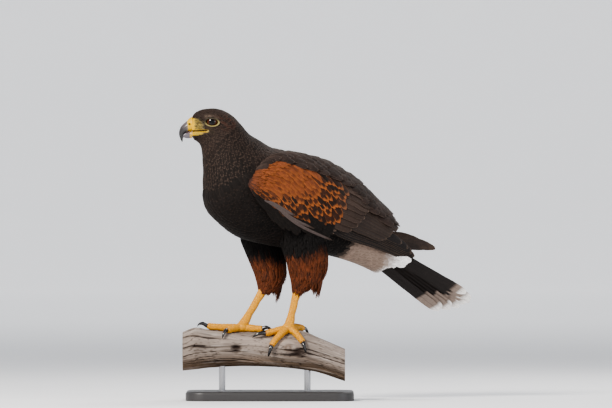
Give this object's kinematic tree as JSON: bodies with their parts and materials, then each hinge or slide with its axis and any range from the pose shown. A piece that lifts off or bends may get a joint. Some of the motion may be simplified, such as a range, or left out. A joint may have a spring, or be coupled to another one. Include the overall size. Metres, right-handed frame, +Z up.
{
  "type": "harris hawk",
  "caption": "Life-size still model of a perched hawk with folded wings, hooked bill, long white-tipped tail and gripping feet, on a short branch held by a plain flat stand",
  "frame": {"origin": "centre of the underside of the stand's base, on the floor", "axes": "+Z up; the bird faces -X, and its left side is towards -Y"},
  "size_m": [0.4465, 0.2523, 0.4514],
  "materials": {
    "dark_plumage": "near-black brown body feathers, matt",
    "wing_plumage": "rufous shoulder coverts over dark brown flight feathers, matt",
    "chestnut_plumage": "chestnut leg feathers, matt",
    "white_plumage": "white to tan coverts of the tail, matt",
    "tail_plumage": "dark brown tail feathers with pale tips, matt",
    "yellow_skin": "bare yellow skin of the bill base, slight sheen",
    "bill_horn": "grey horn darkening to a black tip, satin",
    "claw_horn": "black horn, satin",
    "eye": "dark brown eye, wet gloss",
    "leg_skin": "scaly yellow skin of legs and toes, matt",
    "weathered_wood": "grey weathered bare branch with long cracks, dry",
    "stand_paint": "dark stained wooden base, satin",
    "stand_steel": "plain brushed steel rods"
  },
  "bodies": {
    "root": {"head": "dark_plumage", "neck": "dark_plumage", "torso": "dark_plumage", "wing_left": "wing_plumage", "wing_right": "wing_plumage", "thigh_left": "chestnut_plumage", "thigh_right": "chestnut_plumage", "tail_coverts": "white_plumage", "tail": "tail_plumage", "cere": "yellow_skin", "bill_upper": "bill_horn", "bill_lower": "bill_horn", "eye_left": "eye", "tarsus_left": "leg_skin", "foot_left": "leg_skin", "claw_left_1": "claw_horn", "claw_left_2": "claw_horn", "claw_left_3": "claw_horn", "claw_left_4": "claw_horn", "eye_right": "eye", "tarsus_right": "leg_skin", "foot_right": "leg_skin", "claw_right_1": "claw_horn", "claw_right_2": "claw_horn", "claw_right_3": "claw_horn", "claw_right_4": "claw_horn", "perch": "weathered_wood", "stand_base": "stand_paint", "stand_rod_1": "stand_steel", "stand_rod_2": "stand_steel"}
  },
  "joints": []
}
